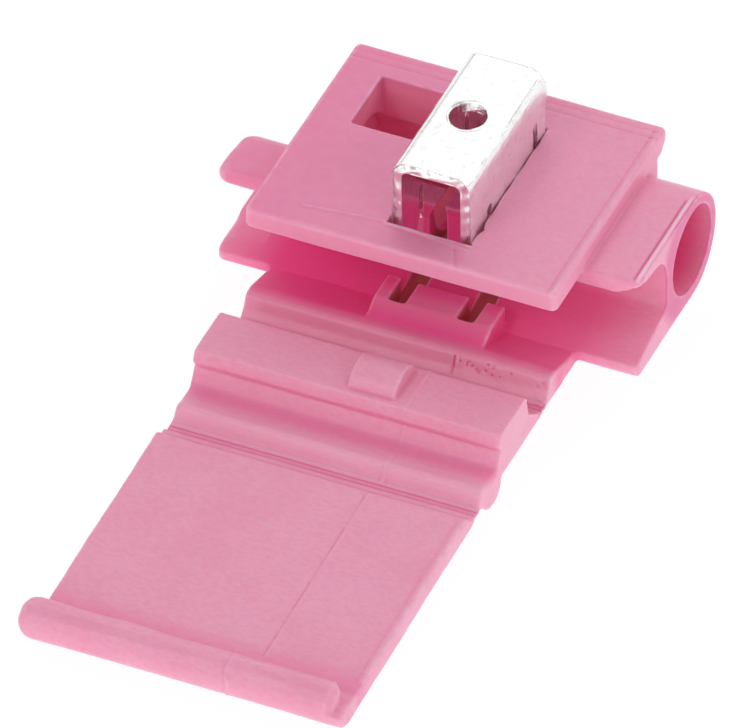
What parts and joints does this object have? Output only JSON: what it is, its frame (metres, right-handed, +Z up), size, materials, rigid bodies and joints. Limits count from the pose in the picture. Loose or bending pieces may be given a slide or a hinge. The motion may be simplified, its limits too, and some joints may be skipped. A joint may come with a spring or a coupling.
{
  "type": "run and tap wire connector",
  "caption": "Insulation-displacement run-and-tap splice connector, open, with hinged side wall and cover and a folded metal U contact.",
  "frame": {"origin": "centre of the underside of the bounding box, connector lying open", "axes": "+X along the wires towards the tap wire's port, +Y from the open cover towards the tap tube, +Z up, the way the contact stands proud"},
  "size_m": [0.0196, 0.0342, 0.0102],
  "materials": {
    "housing_plastic": "moulded polypropylene, fine satin grain",
    "side_wall_plastic": "moulded polypropylene, fine satin grain",
    "cover_plastic": "moulded polypropylene, fine satin grain",
    "contact_metal": "bright tin plate on brass sheet"
  },
  "bodies": {
    "housing": {"housing": "housing_plastic"},
    "side_wall": {"side_wall": "side_wall_plastic"},
    "cover": {"cover": "cover_plastic"},
    "contact": {"u_contact": "contact_metal"}
  },
  "joints": [
    {"name": "side_wall_hinge", "type": "hinge", "parent": "housing", "child": "side_wall", "pos_m": [0, 0.00418, 0.0011], "axis": [-1, 0, 0], "range_deg": [0, 93.8]},
    {"name": "cover_hinge", "type": "hinge", "parent": "side_wall", "child": "cover", "pos_m": [0, -0.00288, 0.00087], "axis": [-1, 0, 0], "range_deg": [0, 91.1]},
    {"name": "contact_press", "type": "slide", "parent": "housing", "child": "contact", "axis": [0, 0, -1], "range_m": [0, 0.00329]}
  ],
  "couplings": [
    {"joint": "cover_hinge", "follows": "contact_press", "rad_per_m": 483.28}
  ]
}
